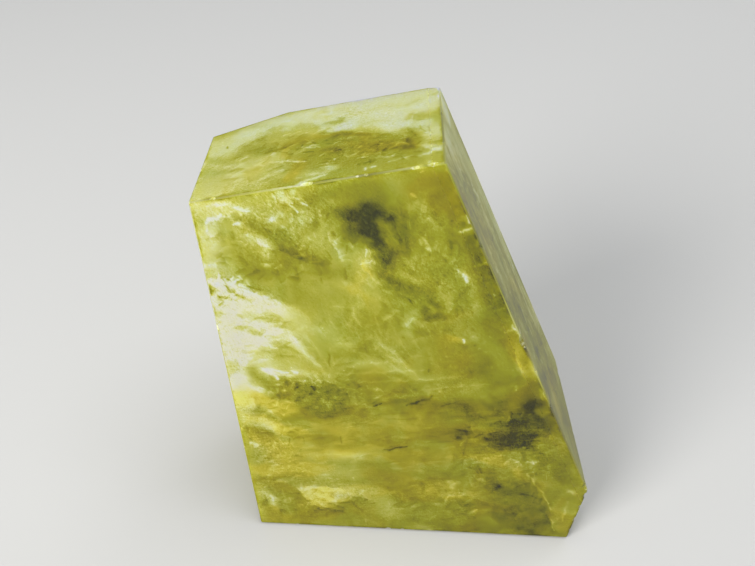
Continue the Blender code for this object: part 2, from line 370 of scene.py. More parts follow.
WASHES = marks("front", (
    # Upper left
    (0.25, 0.0, (-33, 28, -25, 28.5, 3.0), (-30, 24, -29, 18, 3.0)),
    (0.20, -0.3, (-20, 26, -12, 22, 3.0), (-36, 17, -30, 16, 2.0), (-12, 24.5, -10.6, 20, 1.2)),
    (0.40, 0.0, (-26.6, 24.4, -25, 22.6, 1.0), (-24.8, 22.6, -21.6, 20.8, 1.2)),
    (-0.34, 0.0, (-24.5, 24.8, -19, 21.6, 1.6), (-20, 21.4, -14.4, 18.6, 1.9),
     (-13.6, 19.6, -12.6, 17.8, 1.0)),
    (-0.20, 0.1, (-22, 29.6, -13, 30.6, 1.2), (-17, 25, -13.6, 26.4, 1.4), (-26, 17.6, -17, 16.4, 1.4)),
    # Round the smoke
    (-0.30, -0.3, (-10, 30.8, -4, 31, 1.6), (-11, 26, -10, 23, 1.4), (-2.8, 29, -0.6, 25, 1.6)),
    (-0.22, -0.3, (0, 26, 6, 17, 3.2), (7, 21, 8.6, 13, 2.0), (-1.6, 16.4, 5, 9, 2.2)),
    (0.20, 0.6, (-7.2, 19.4, -4.4, 15, 1.5), (-9.6, 14, -4, 11.4, 2.0)),
    (-0.16, 1.0, (3.6, 33, 10, 26.6, 3.2), (0.4, 32.6, 2, 30.6, 1.2), (9, 24, 11.6, 19, 1.8)),
    (0.16, 0.0, (2.4, 27, 4.6, 21.6, 1.0), (9.6, 18, 12.6, 13.4, 1.3), (12, 13, 14, 9, 1.1)),
    # The cloud at the left edge
    (0.42, 0.0, (-32, 12, -21, 9.4, 2.2), (-33, 13.6, -27, 13.4, 1.6)),
    (0.62, 0.0, (-32.4, 8.6, -21.6, 7.6, 3.0), (-31, 4.4, -21, 2.4, 3.4), (-30.4, -1, -21, -2.6, 1.8)),
    (0.26, 0.0, (-21, 8, -14, 5.6, 3.0), (-20, 1.6, -14.4, -3.6, 2.2)),
    (0.55, 0.0, (-31, -6.4, -25.2, -7.4, 1.7)),
    # Across the middle
    (0.08, 0.0, (-20, 14, -4, 12.4, 3.6), (-4, 34, 0, 33.4, 1.2)),
    (-0.07, 0.3, (4, 5, 16, 0, 4.0), (-4, -14, 16, -16, 5.0)),
    (0.26, -0.4, (2.2, 9.6, 2.2, 4.6, 1.1), (-9.4, -2, 3.6, -3.4, 1.1), (-3.4, 2, -0.6, -2, 0.9)),
    (-0.16, 0.0, (-10.6, 8, -7.6, 2.4, 2.0), (-3, 10, 1, 8, 1.4), (13, -2, 20, -6, 2.2)),
    (0.34, 0.8, (19.4, 4.4, 23, -4.4, 1.7), (10, 3.8, 12, 2.8, 0.8)),
    # The dark grain below the cloud
    (-0.36, 0.1, (-21, -7, -9.6, -8.6, 1.6), (-19.6, -10.4, -9.6, -12.4, 1.5)),
    (-0.26, 0.2, (-8, -6, 2, -7.6, 1.8), (-7, -11, 14, -10.6, 1.7), (-24, -13.6, -15, -13.4, 1.1)),
    (0.42, 1.0, (-29.4, -9.4, -21.6, -11.6, 2.2), (-27.4, -15.4, -21.4, -17.4, 2.2)),
    (0.14, 0.3, (-14, -15.4, 2, -14.8, 1.8), (-11.4, -16.8, -10.6, -18.4, 0.9)),
    (-0.16, 1.0, (-29.4, -18.8, -26.6, -21, 1.6), (2, -17, 15, -17.8, 1.9), (-2, -24, 12, -21.6, 1.6)),
    (0.37, 0.8, (-26.4, -22, -4.4, -24, 2.3), (-27.6, -26.6, -9, -27.8, 1.8)),
    (-0.14, 0.6, (-22, -18, -16, -19.6, 1.2), (-28, -29.6, -20, -29.4, 0.9), (-7.4, -20, 0, -19.4, 1.0)),
    # Down to the foot
    (0.36, 0.2, (-26.6, -33.2, -25.2, -36.6, 1.2), (-9.4, -32, -5.4, -33.6, 1.6)),
    (-0.16, 1.0, (-24, -38.4, -10.6, -38.2, 1.9), (-24, -31.6, -20.6, -34.6, 1.3),
     (-4, -29, 4, -32.6, 2.6)),
    (0.16, 0.2, (2.6, -29.4, 7, -34.6, 2.2), (8, -30.6, 16, -31.4, 1.3), (-4, -36, 1, -39, 1.6)),
    (-0.24, 0.2, (4, -26.4, 18, -28.6, 2.0), (9, -35.6, 22, -36.6, 2.6), (0, -40.4, 26, -41.4, 1.5)),
    (-0.38, 0.0, (20, -30.6, 27, -31.6, 2.4), (24, -35.4, 29.6, -37, 3.4), (19.6, -39, 27, -40.6, 1.6)),
    (0.18, 0.9, (15, -22.6, 20.6, -24.6, 1.6), (22, -24.4, 24, -28.4, 1.2),
     (31.4, -33.4, 33.4, -39, 1.6)),
    (-0.30, 0.0, (10, -12.6, 19, -14.6, 1.8), (18, -10.4, 26, -9.4, 2.0), (26, -20, 31.4, -26, 1.9)),
)) + marks("top", (
    (0.44, 0.5, (-29, -2, -18, -1, 5.0), (-27, 4, -14, 3.4, 2.6)),
    (0.52, -0.2, (-29, 9.6, -20, 15.6, 3.8), (-20, 17.4, -10, 19.4, 2.8)),
    (0.24, -0.2, (-20, 12, -10, 14, 3.0), (-14, -1.6, -8, -3, 1.6)),
    (-0.16, 0.6, (-14, 8.6, -7, 9.6, 1.7), (-10, 3, 4, 1, 3.0), (-18, 7, -12.6, 7.4, 1.1)),
    (-0.20, 1.0, (-8, 10.4, -1, 5.2, 1.3), (0, 2.4, 9, -0.8, 2.0), (-14, -3.4, -11, -0.4, 1.6)),
    # a real veil at the back right of the top, painted whiter as a sheen: a pale reflection lies on it
    # there
    (0.80, -0.4, (-8, 18, 13, 20, 4.0), (-2, 13, 13, 15, 4.0), (2, 9.4, 7.4, 8.8, 1.9)),
    (0.34, -0.5, (8.6, 8, 12.6, 4.6, 2.6), (-6.6, 12.4, -2, 10.6, 1.5)),
)) + marks("right", (
    (-0.36, 0.2, (-4, 24, -14, -4, 5.0), (-2, -22, -8, -32, 5.0), (2, 24, -2, -10, 4.0)),
    (0.44, 0.0, (16, 30, 8, -30, 3.0), (-2, 36, 8, 26, 4.4), (-10, 26, -14, 8, 1.4)),
    (0.40, 0.2, (-4, 10, 4, -4, 3.4), (-12, -22, -4, -28, 2.4), (2, 18, 5, 12, 2)),
    (-0.42, 0.0, (-16, -13, -8, -18, 2.6), (-6, -12, -2, -15, 1.6), (6, -20, 9, -24, 1.6)),
)) + marks("left", (
    (0.62, 0.0, (4, 10, 12, -2, 8), (-8, 24, 6, 26, 4), (9, -8, 13, -10, 2.4)),
    (0.24, 0.4, (-2, -20, 8, -26, 7)),
    (-0.30, 0.2, (-12, -2, -6, -16, 4.0), (-10, 16, -4, 10, 2.6), (2, -32, 10, -34, 2)),
)) + marks("rear", (
    (0.34, -0.2, (-14, 12, 2, 2, 7), (8, 30, 20, 27, 3.4), (-22, -8, -10, -12, 3)),
    (0.30, -0.2, (-10, 9, -3, 5, 3.0), (14, -26, 24, -31, 3)),
    (-0.20, 1.0, (-24, -26, -8, -30, 6), (12, 10, 19, 2, 4), (0, -30, 8, -34, 3)),
    (-0.32, 0.0, (2, -12, 22, -18, 4), (-4, 26, 6, 18, 3.4), (-24, 2, -18, -4, 2.6)),
)) + marks("rear_left", (
    (0.30, 0.0, (-2, 20, 2, 4, 5)),
)) + marks("undercut", (
    (-0.20, 0.6, (-10, 4, 10, 0, 5)),
))
print("washes:", lens_count(WASHES))

# %% Patches
PATCHES = marks("front", (
    # Smoke near the top of the front, and its tail
    (-0.78, -0.3, (-6.9, 27.7, -6.3, 27.3, 2.9)),
    (-0.34, -0.3, (-9.6, 28.0, -8, 27.6, 1.2), (-5.6, 28.2, -4.4, 27.6, 1.6)),
    (-0.58, -0.3, (-9.2, 24.0, -4.8, 23.2, 1.8)),
    (-0.42, -0.3, (-4.8, 24.8, -1.8, 18.4, 1.9)),
    (-0.36, -0.3, (-5.2, 25.4, -2.4, 19, 1.4)),
    (-0.30, -0.1, (-2.0, 27, -0.6, 24, 1.5), (-0.6, 15.6, 2.8, 12.2, 1.2), (-3, 16, -1.4, 14.4, 0.8)),
    (-0.42, 0.0, (3.4, 10.6, 4.4, 8.8, 0.8), (5.6, 8.8, 7.6, 8.8, 0.7), (5, 11.6, 6.2, 11, 0.5)),
    # Smoke beside the right edge
    (-0.72, 0.0, (17.6, -18.8, 24.4, -16.2, 2.1), (22, -15.4, 27.6, -13.6, 2.0)),
    (-0.45, 0.0, (20, -14.4, 23, -12, 1.6), (23.2, -10, 26.4, -9.4, 1.1), (9.6, -17, 14.6, -16.4, 0.7)),
    (-0.40, 0.0, (28.6, -33.2, 30.2, -38.8, 1.0), (19, -20, 25, -20, 0.8)),
    # Darker grain
    (-0.26, 0.1, (-24, -9.8, -20, -9.2, 0.6), (-5.4, -10.8, 2, -9.4, 0.5), (-1, -8, 4, -7.4, 0.4)),
    (-0.24, 0.3, (-4, 16.8, -1, 15.2, 0.7), (-15, -18.6, -10, -19.4, 0.6), (2, -30, 8, -28.6, 0.7)),
    # The whitest parts of the cloud
    (0.52, 0.0, (-30.4, 6.7, -26.4, 6.3, 0.8), (-30.6, 4.2, -27, 3.6, 0.7), (-30, 9, -28, 9.6, 0.9)),
    (0.52, 0.0, (-29, 2.9, -24.6, 1.9, 1.1), (-28.6, 0.9, -26, 0.5, 0.6), (-30, -0.8, -27.6, -1.2, 0.5)),
    (0.40, 0.0, (-28.4, 13.2, -24.6, 11.4, 0.9), (-31.8, 12.2, -30, 10.6, 0.7),
     (-26.8, 15.4, -26.4, 14.2, 0.4)),
    (0.24, 0.0, (-24, 10.6, -19.4, 9.6, 0.8), (-24.4, 5, -21, 4.4, 0.9), (-19.4, 3, -16, -1.2, 0.7)),
    (-0.22, 0.0, (-31, 7.9, -27.6, 7.5, 0.4), (-26, 4.4, -23, 3.2, 0.5), (-24, 8, -21.6, 7, 0.7)),
    # Pale haze
    (0.28, 0.0, (20.4, 0, 21.4, -2, 0.6), (14.6, -19.2, 16.6, -19.8, 0.6),
     (-26.4, -16, -22.6, -17.4, 1.2)),
    (0.20, 0.0, (-18.6, -4, -13.4, -4.6, 0.7), (8.6, -32.4, 14, -32, 0.7), (-12.6, -22.6, -5, -24, 0.9)),
    # Lens cracks at the foot
    (0.42, 0.5, (-17.6, -32.8, -13.6, -34.6, 1.3), (-17, -32.6, -10.6, -32.8, 1.1)),
    (0.34, 0.4, (-15.4, -35, -11, -33.8, 0.9)),
)) + marks("top", (
    # The veil on the top and its dark spots
    (0.14, 0.0, (-6, 15.6, 4, 13, 1.4), (2.6, 11, 4.6, 6.4, 1.0), (4.8, 6.8, 6.6, 4.8, 0.7)),
    (-0.36, -0.9, (-7, 13.6, -4.4, 13.4, 0.8), (-5, 15, -4, 14.4, 0.5)),
    (-0.30, 0.3, (-3, 8.4, 3.6, 5.6, 0.5), (7, 9.6, 8.4, 12, 0.6), (-6.6, 4, -4.4, 3.4, 0.9)),
    (-0.46, 0.2, (6.6, 0.8, 7.8, 0, 0.8), (7.2, 3.4, 7.6, 1.6, 0.5)),
    (0.40, -0.3, (-6.4, -2, -5, -2.2, 0.7), (10.4, -0.4, 12.4, -2.2, 0.8), (-8, 17.4, -6, 17, 0.6)),
))
print("patches:", lens_count(PATCHES))

# %% Streaks
STREAKS = marks("front", (
    # White cracks under the front rim: partly painted glints, the light they throw back
    (1.10, -1.0, (-29.4, 28.9, -25.2, 27.8, 0.42), (-32.6, 25.6, -29.9, 27, 0.32),
     (-32, 28.6, -29.4, 29, 0.3)),
    (1.10, -1.0, (-20, 31.4, -18.4, 29.6, 0.42), (-19.2, 30, -17.2, 27.8, 0.18),
     (-17.5, 30.3, -15.6, 29, 0.22)),
    (0.75, -0.8, (-22.8, 25.8, -19.6, 27.2, 0.45), (-21.4, 30.6, -20.6, 29.6, 0.25),
     (-27.8, 25.2, -26.6, 25.6, 0.4)),
    (0.45, 0.0, (-13.6, 27.6, -12.8, 27.2, 0.28), (-34, 28.4, -33, 27.2, 0.25),
     (-16.2, 23.6, -15.4, 22.8, 0.3)),
    (0.50, 0.0, (-17.2, 20.6, -16.2, 20, 0.25), (-7, 18.4, -5.2, 19.2, 0.16),
     (-17.4, 21, -16.8, 21.2, 0.2)),
    # Bright shards on the left, and dark ones: the bright ones are partly painted glints
    (0.80, -0.4, (-32.6, 14.2, -31.4, 13.2, 0.35), (-30, 14.2, -28, 14.8, 0.35),
     (-28, 15.6, -27.4, 15, 0.25)),
    (-0.70, 0.2, (-31.8, 11.6, -30.6, 11, 0.25), (-30.8, 13.6, -29.4, 12.4, 0.25),
     (-29, 12.2, -26.4, 10.6, 0.26)),
    (-0.60, 0.2, (-32.8, 12.2, -32, 13, 0.2), (-26.4, 13.8, -24.4, 12.8, 0.2),
     (-30, 15, -28.4, 13.8, 0.18)),
    (0.90, -0.8, (-24.8, -3.4, -22.4, -5.6, 0.45), (-19.8, -3.8, -18.8, -4.2, 0.35),
     (-23.4, -3.8, -20.4, -4.4, 0.2)),
    (0.17, 0.0, (-20.4, 5, -16.4, -0.6, 0.3), (-16.4, -0.6, -13.4, -4.2, 0.3),
     (-12.6, 1.4, -12.2, -2.4, 0.3)),
    (-0.40, 0.0, (-22.4, -6, -20, -6.6, 0.3), (-13, 0.4, -12.8, -2.6, 0.18), (-24, -5, -23, -6, 0.2)),
    # Faint lines through the middle
    (0.20, 0.0, (-4.8, 5.2, -1.4, -1.2, 0.30), (-2.4, -1, 1, -4, 0.35), (-9, 11, -7, 6, 0.35),
     (-4.6, 8, -3.2, 4, 0.25)),
    (0.22, 0.0, (-12, -4.2, 4, -2.8, 0.35), (-9.6, -2.5, -2.4, -1.2, 0.35), (4, -5, 12, -3.6, 0.35),
     (-8, -6, 6, -4.6, 0.3)),
    (0.22, 0.0, (-3, -8.4, 8, -6.6, 0.3), (-5, -9.6, 3, -8.4, 0.3), (8, -6.4, 16, -5.4, 0.25)),
    (0.30, 0.0, (-4.8, 27.2, -4.0, 26, 0.5), (-4.0, 26, -1.8, 21.4, 0.22), (-2.8, 25.8, -1, 22.6, 0.12)),
    (0.50, 0.4, (-4.9, 27, -4.1, 26.2, 0.35), (-3.4, 24.6, -2.4, 22.4, 0.12),
     (-5.6, 21.6, -5.2, 20.2, 0.12)),
    (0.45, 0.3, (-4.6, 21.2, -4.3, 19.8, 0.12), (-6.2, 22.6, -6, 21.4, 0.1),
     (-5.2, 19.8, -4.8, 18.6, 0.12)),
    (0.35, 1.0, (-3, 16.9, -0.9, 17.1, 0.3), (-1.8, 14.6, -0.9, 14.8, 0.25), (4.8, 10.4, 5.6, 9.4, 0.4)),
    # Wisps and specks on the right: the white specks and nicks are partly painted glints
    (0.90, -0.6, (10.2, 16.9, 11.2, 15.8, 0.34), (23.2, -17.2, 23.5, -16.8, 0.42),
     (10.8, 3.9, 11.2, 3.4, 0.24)),
    (1.00, -1.0, (26.2, -15.4, 26.5, -15.2, 0.22), (20.8, -5.6, 21, -6.5, 0.26),
     (23, -19.9, 23.5, -20, 0.3), (15.6, 13.4, 15.8, 13.1, 0.2)),
    (0.40, 0.0, (9.4, 18, 10, 17, 0.3), (2.6, 23.4, 3.2, 22.4, 0.3), (3.8, 22, 4.6, 21.4, 0.3),
     (25, -6.2, 26.2, -8.4, 0.3)),
    (0.40, 0.0, (24.4, -23.8, 26.2, -23, 0.4), (22, -25.6, 22.6, -24.4, 0.3),
     (20, -13.4, 20.2, -12.4, 0.2), (22.4, -12, 22.5, -11.4, 0.22)),
    (0.42, 0.0, (9.8, -32.6, 12.8, -32.2, 0.4), (14.2, -37.4, 15.2, -36, 0.5),
     (9, -34.4, 9.8, -33, 0.3), (14.6, -36.4, 15.8, -36, 0.2)),
    (0.56, 0.3, (24.6, -26.2, 27.2, -29.6, 0.24), (27.2, -29.6, 29.2, -33.4, 0.24),
     (29.4, -33.6, 31.2, -40.8, 0.3)),
    (0.60, 0.0, (-28.6, -20.9, -27.2, -21.3, 0.4), (-25.6, -34.2, -25.2, -35.8, 0.3)),
    (0.50, 0.0, (32.8, -30.4, 34.4, -30.6, 0.5), (33.2, -33, 32.4, -38, 0.3), (1.4, 31.6, 1.8, 31, 0.3)),
    (1.20, -0.8, (19.5, 7.4, 20.7, 4.6, 0.40), (10.3, 28, 10.9, 26.6, 0.24),
     (12.2, 24, 12.7, 22.8, 0.26)),
    (0.60, -0.2, (25.9, -6.8, 27.2, -9.8, 0.3), (27.9, -11.2, 29, -13.6, 0.24),
     (16.3, 14.6, 16.7, 13.8, 0.2)),
    (0.35, 0.0, (-7.4, -32.8, -6.8, -32.2, 0.35), (-28.6, -21.2, -27.4, -21.6, 0.5),
     (-6.6, -39.6, -6.5, -40.6, 0.2)),
    (0.28, 0.0, (-21, -31, -18, -34.6, 0.2), (-18, -34.6, -15, -36.4, 0.2),
     (-24.4, -30.4, -22, -30.6, 0.3)),
    # Needles and dark ticks
    (-1.10, 0.0, (1.2, -10.7, 3.4, -9.9, 0.30), (2.8, -10.1, 5.9, -8.7, 0.32),
     (-16.2, -7.2, -15.8, -8, 0.34)),
    (-0.90, 0.0, (-3, -21.6, 0.4, -20.8, 0.20), (-1, -20.9, 1.6, -20.5, 0.16),
     (-5, -11.2, -3.4, -10.6, 0.18)),
    (-0.50, 0.0, (-21, -19.4, -21.2, -21.4, 0.14), (-18.4, -19, -18.2, -20.6, 0.14),
     (-11.1, -18.6, -11, -20.4, 0.14)),
    (-0.50, 0.0, (-9.4, -35, -8, -36.8, 0.25), (1.2, 11.9, 1.8, 11.2, 0.28),
     (11.9, -31.1, 12.6, -31.3, 0.16), (5, -2.4, 5, -3.2, 0.16)),
    (-0.45, 0.0, (7.6, -10.6, 10, -9.8, 0.15), (-2, -20.9, 0, -20.2, 0.12),
     (-6, -10.8, -3, -9.8, 0.15), (-14, -35.8, -10, -35.4, 0.2)),
    (-0.40, 0.0, (9, -15.8, 13, -16.4, 0.16), (-24.6, -12.6, -22.6, -12.2, 0.15),
     (-18.8, -13, -17.4, -13.8, 0.2), (4.4, 21.4, 4.6, 20.4, 0.2)),
    (0.55, -0.8, (-5.4, 34.6, 0.6, 35.7, 0.2), (1.2, 35.8, 6.6, 36.8, 0.24),
     (-17.6, 32.3, -13, 33.2, 0.26)),
)) + marks("top", (
    (-0.70, 0.2, (-11.9, 5.6, -10.9, 7.2, 0.22), (-10.8, 4.5, -8.8, 4.1, 0.18),
     (-9.4, 7.2, -8.2, 6.5, 0.2), (-25.2, 11.4, -24.8, 10.6, 0.2)),
    (-0.35, 0.2, (0, 5.4, 3.6, 4.6, 0.3), (-24, -5.2, -21.4, -5, 0.2), (-17.6, 6.6, -14, 7, 0.25),
     (-13.6, 10.6, -12.8, 11, 0.2)),
    (-0.30, 0.0, (8, 5.6, 8.8, 3, 0.2), (9.4, 6.8, 10.4, 3.4, 0.2), (10.8, 6, 11.6, 3, 0.2),
     (9, 9, 11, 8.6, 0.2)),
    # the white, cool streaks of the top are partly painted glints of cracks
    (0.70, -0.4, (-15.6, 2.9, -11.2, 1.6, 0.2), (-12.2, 1.6, -10.2, 1.2, 0.35),
     (-8.8, 6.0, -7.8, 5.0, 0.16), (-11.2, 6.4, -8.6, 5.4, 0.18)),
    (1.00, -0.6, (2.5, 2.9, 2.9, 2.7, 0.32), (0.1, -4.3, 0.3, -4.8, 0.3), (1.0, -4.2, 1.9, -4.4, 0.3),
     (-5.2, 0.4, -5, 0.1, 0.2)),
    (0.60, -0.8, (-10.6, -5.2, -6.6, -4.2, 0.5), (-14.6, -6.2, -10.6, -5.8, 0.3),
     (9, -3.4, 13, -1.7, 0.45), (4, -3.6, 8, -3, 0.2)),
))
print("streaks:", lens_count(STREAKS))

# %% [markdown]
# Between the streaks that can be told apart lie hundreds that can't. They come in thickets: so many
# streaks round a place, nearly side by side, because they follow the growth planes of the quartz.

# %% Thickets of small streaks
Thicket = namedtuple("Thicket", "side across up wide tall turn spread count length half milk")


def thickets(side, rows):
    """The thickets of one face: middle, size, turn, spread of the turns, count, sizes, milk."""
    return [Thicket(side, *row) for row in rows]


THICKETS = thickets("front", (
    (-29, 27.4, 5, 2.4, 20, 30, 16, (0.6, 2.4), (0.10, 0.22), 0.40),
    (-18, 27, 6, 4.0, -50, 14, 14, (0.8, 2.6), (0.10, 0.20), 0.25),
    (-4.6, 21.6, 2.4, 3.6, -78, 8, 16, (0.5, 1.6), (0.08, 0.13), 0.45),
    (2, 24, 5, 6, -72, 14, 16, (0.6, 2.4), (0.12, 0.22), 0.22),
    (-29, 12.6, 3.6, 2.4, 30, 50, 14, (0.4, 1.4), (0.10, 0.22), -0.50),
    (-27, 4, 5, 7, 4, 8, 26, (1.0, 4.0), (0.16, 0.36), 0.25),
    (-26, 5, 6, 8, 6, 12, 16, (0.8, 3.0), (0.14, 0.30), -0.25),
    (-5, 4, 13, 7, -60, 6, 12, (3.0, 8.0), (0.14, 0.26), 0.14),
    (-15, -8.2, 9, 3, 10, 40, 26, (0.4, 1.6), (0.12, 0.26), -0.30),
    (-14, -8, 11, 3, 20, 60, 26, (0.3, 1.2), (0.12, 0.24), 0.38),
    (2, -15, 26, 6, 8, 5, 26, (2.0, 7.0), (0.14, 0.28), -0.18),
    (2, -22, 26, 7, 8, 5, 26, (1.5, 7.0), (0.14, 0.30), 0.16),
    (22, -25, 7, 6, 40, 60, 26, (0.4, 1.8), (0.10, 0.22), 0.26),
    (22, -12, 6, 4, 15, 40, 22, (0.3, 1.0), (0.10, 0.2), 0.36),
    (-21, -31, 8, 6, 20, 40, 28, (0.5, 1.8), (0.12, 0.26), 0.28),
    (-14, -36, 10, 2.4, 10, 30, 22, (0.4, 1.8), (0.12, 0.22), -0.40),
    (0, 0, 32, 36, 30, 90, 70, (0.1, 0.4), (0.12, 0.20), 0.42),
    (6, 12, 12, 18, 30, 90, 20, (0.1, 0.5), (0.12, 0.20), -0.35),
)) + thickets("top", (
    (-8, 3, 12, 5, 10, 30, 40, (0.2, 1.4), (0.10, 0.20), 0.35),
    (-12, 6, 10, 5, 10, 20, 34, (0.3, 1.8), (0.10, 0.22), -0.35),
    (2, 15, 11, 4, 12, 5, 14, (3.0, 8.0), (0.16, 0.30), 0.12),
)) + thickets("right", (
    (0, 0, 12, 32, -102, 30, 60, (0.1, 0.5), (0.16, 0.26), 0.55),
    (0, 2, 12, 30, -70, 24, 40, (1.0, 6.0), (0.18, 0.40), 0.30),
    (4, 0, 10, 26, 76, 2, 12, (10, 30), (0.4, 1.0), 0.30),
    (0, 0, 12, 26, 76, 2, 12, (10, 30), (0.4, 1.0), -0.30),
    (0, 0, 12, 30, -60, 30, 30, (0.8, 4.0), (0.18, 0.36), -0.35),
)) + thickets("left", (
    (0, 0, 14, 30, 20, 40, 40, (0.6, 3.0), (0.24, 0.5), 0.30),
    (0, -4, 14, 28, 10, 40, 34, (0.6, 3.0), (0.24, 0.5), -0.30),
)) + thickets("rear", (
    (0, 0, 30, 32, 30, 30, 70, (0.8, 4.0), (0.24, 0.5), 0.30),
    (0, -6, 30, 30, 5, 20, 60, (0.8, 4.0), (0.24, 0.5), -0.30),
))

# %% [markdown]
# Flakes are the broken surfaces that lie inside the stone. Seen from the side, such a surface ends
# sharply where the break stopped and fades where it sinks into the haze. A few large ones can be
# told apart, and the rest drift in swarms, light and dark ones through each other.

# %% Flakes and drifts of small flakes
FLAKES = marks("front", (
    (0.46, 0.3, (-14.6, -36.2, -18.8, -32.2, 1.7), (-18.4, -32.6, -11.4, -32.6, 1.4)),
    (0.30, 0.3, (-5.6, -33.6, -9.6, -32.4, 1.0), (-9.6, -33.2, -15, -36.4, 1.4)),
    (0.15, 0.0, (-20.4, 4.6, -14.4, -4, 1.2), (-24, 11.6, -20, 9.4, 0.8)),
    (0.60, -0.2, (-28.6, 12.9, -24.6, 11.2, 0.8), (-32.4, 13.6, -29.6, 14, 0.6)),
    (0.34, 0.0, (-21.4, 21.4, -26, 24.2, 1.0), (-24, 24.4, -27.6, 25.6, 0.6)),
    (0.28, 0.4, (32.8, -40.6, 27.6, -28.4, 1.7), (22.6, -3.4, 20.6, 2.4, 1.0)),
    (-0.40, 0.0, (24.6, -18.8, 17.4, -17.8, 1.7), (27.6, -15.4, 22.6, -16.4, 1.5)),
    (0.26, 0.6, (-3.4, 15.4, -6.4, 19.4, 1.3), (9, -33.4, 14, -33.2, 0.8)),
    (0.34, 0.2, (-10.4, 20.4, -12.2, 24.6, 0.6), (10.2, 17.4, 11.6, 15, 0.6), (3, 23.8, 4.4, 21.4, 0.5)),
    (-0.30, 0.0, (-13.4, 18.8, -20.4, 21.8, 1.5), (-1.4, 13, 3, 9.4, 1.0), (7.6, 8.4, 3.8, 8.2, 0.8)),
    (0.32, 0.0, (-25.6, -8, -30.4, -6.6, 1.3), (-20, -4.6, -25.4, -3.4, 0.8)),
)) + marks("top", (
    (0.20, -0.2, (6.6, 6.3, -7.4, 13.9, 2.4), (-14, 18.6, -24, 14.8, 1.8)),
    (-0.22, 0.0, (8.3, 4.1, 10.1, 11.1, 1.6), (-1, 7.2, -8, 11, 0.7)),
    (0.30, 0.3, (-4.6, -2.6, -9, -3.2, 0.9), (-11, 5, -8.4, 6.4, 0.7)),
))
DRIFTS = thickets("front", (
    (-19, 24, 14, 7, -30, 60, 80, (0.4, 2.0), (0.20, 0.7), 0.26),
    (-19, 22, 14, 8, -30, 60, 60, (0.4, 2.0), (0.20, 0.7), -0.26),
    (-31, 12.4, 4, 3, 10, 60, 26, (0.6, 2.4), (0.25, 0.7), 0.40),
    (-30, 12, 4, 3, 10, 60, 18, (0.5, 2.0), (0.20, 0.5), -0.50),
    (4, 18, 11, 13, -65, 40, 60, (0.8, 3.2), (0.30, 0.9), 0.16),
    (4, 18, 10, 12, -65, 40, 56, (0.8, 3.2), (0.30, 0.9), -0.18),
    (-27, 4, 6, 8, 5, 20, 34, (1.2, 4.0), (0.30, 0.9), 0.22),
    (-26, 3, 7, 8, 5, 20, 22, (1.2, 4.0), (0.25, 0.7), -0.22),
    (0, 4, 20, 8, -20, 40, 44, (1.0, 4.0), (0.30, 1.0), 0.12),
    (2, 3, 20, 8, -20, 40, 34, (1.0, 4.0), (0.30, 1.0), -0.12),
    (-16, -8.6, 10, 4, 10, 60, 46, (0.6, 2.4), (0.25, 0.7), -0.24),
    (-15, -8.4, 12, 4, 10, 60, 60, (0.4, 1.6), (0.20, 0.5), 0.28),
    (-24, -18, 6, 9, 20, 60, 60, (0.5, 2.2), (0.20, 0.7), 0.22),
    (-24, -20, 6, 9, 20, 60, 44, (0.5, 2.0), (0.20, 0.6), -0.24),
    (2, -19, 24, 9, 8, 12, 50, (1.0, 5.0), (0.25, 0.8), 0.14),
    (2, -18, 24, 9, 8, 12, 50, (1.0, 5.0), (0.25, 0.8), -0.14),
    (20, -22, 10, 9, 30, 60, 60, (0.5, 2.2), (0.20, 0.7), 0.26),
    (20, -20, 10, 9, 30, 60, 50, (0.5, 2.2), (0.20, 0.7), -0.28),
    (-17, -33, 10, 5, 10, 50, 30, (0.6, 2.6), (0.25, 0.8), 0.20),
    (-17, -36, 11, 3.4, 10, 50, 34, (0.6, 2.4), (0.20, 0.7), -0.26),
    (14, -34, 16, 6, 8, 40, 50, (0.6, 3.0), (0.20, 0.8), 0.18),
    (14, -34, 16, 6, 8, 40, 40, (0.6, 3.0), (0.20, 0.8), -0.22),
)) + thickets("top", (
    (-14, 5, 13, 8, 12, 30, 60, (0.6, 3.0), (0.20, 0.8), -0.20),
    (-12, 4, 13, 8, 12, 30, 60, (0.5, 2.6), (0.20, 0.7), 0.22),
    (5, 0, 8, 4, 10, 40, 34, (0.5, 2.0), (0.20, 0.6), -0.26),
    (5, 1, 8, 4, 10, 40, 34, (0.5, 2.0), (0.20, 0.6), 0.26),
)) + thickets("right", (
    (0, 0, 12, 32, -70, 40, 56, (1.0, 5.0), (0.35, 1.2), 0.26),
    (0, 0, 12, 32, -70, 40, 50, (1.0, 5.0), (0.30, 1.0), -0.28),
)) + thickets("left", (
    (0, 2, 14, 30, 15, 40, 50, (1.2, 5.0), (0.5, 1.6), 0.26),
    (0, -2, 14, 30, 15, 40, 50, (1.2, 5.0), (0.5, 1.4), -0.26),
)) + thickets("rear", (
    (0, 0, 30, 34, 15, 40, 90, (1.2, 6.0), (0.5, 1.8), 0.24),
    (0, 0, 30, 34, 15, 40, 90, (1.2, 6.0), (0.5, 1.6), -0.26),
))

# %% Growing the thickets
def grow(patches, dice):
    """Every streak or flake of some thickets, as a mark of its own."""
    grown = []
    for thicket in patches:
        for number in range(thicket.count):
            reach = math.sqrt(dice.random())
            bearing = dice.uniform(0.0, math.tau)
            across = thicket.across + thicket.wide * reach * math.cos(bearing)
            up = thicket.up + thicket.tall * reach * math.sin(bearing)
            turn = math.radians(dice.gauss(thicket.turn, thicket.spread))
            length = dice.uniform(*thicket.length) / 2.0
            run = length * math.cos(turn)
            rise = length * math.sin(turn)
            lens_shape = (across - run, up - rise, across + run, up + rise, dice.uniform(*thicket.half))
            milk = thicket.milk * dice.uniform(0.4, 1.3)
            grown.append(Mark(thicket.side, milk, 0.0, (lens_shape,)))
    return grown


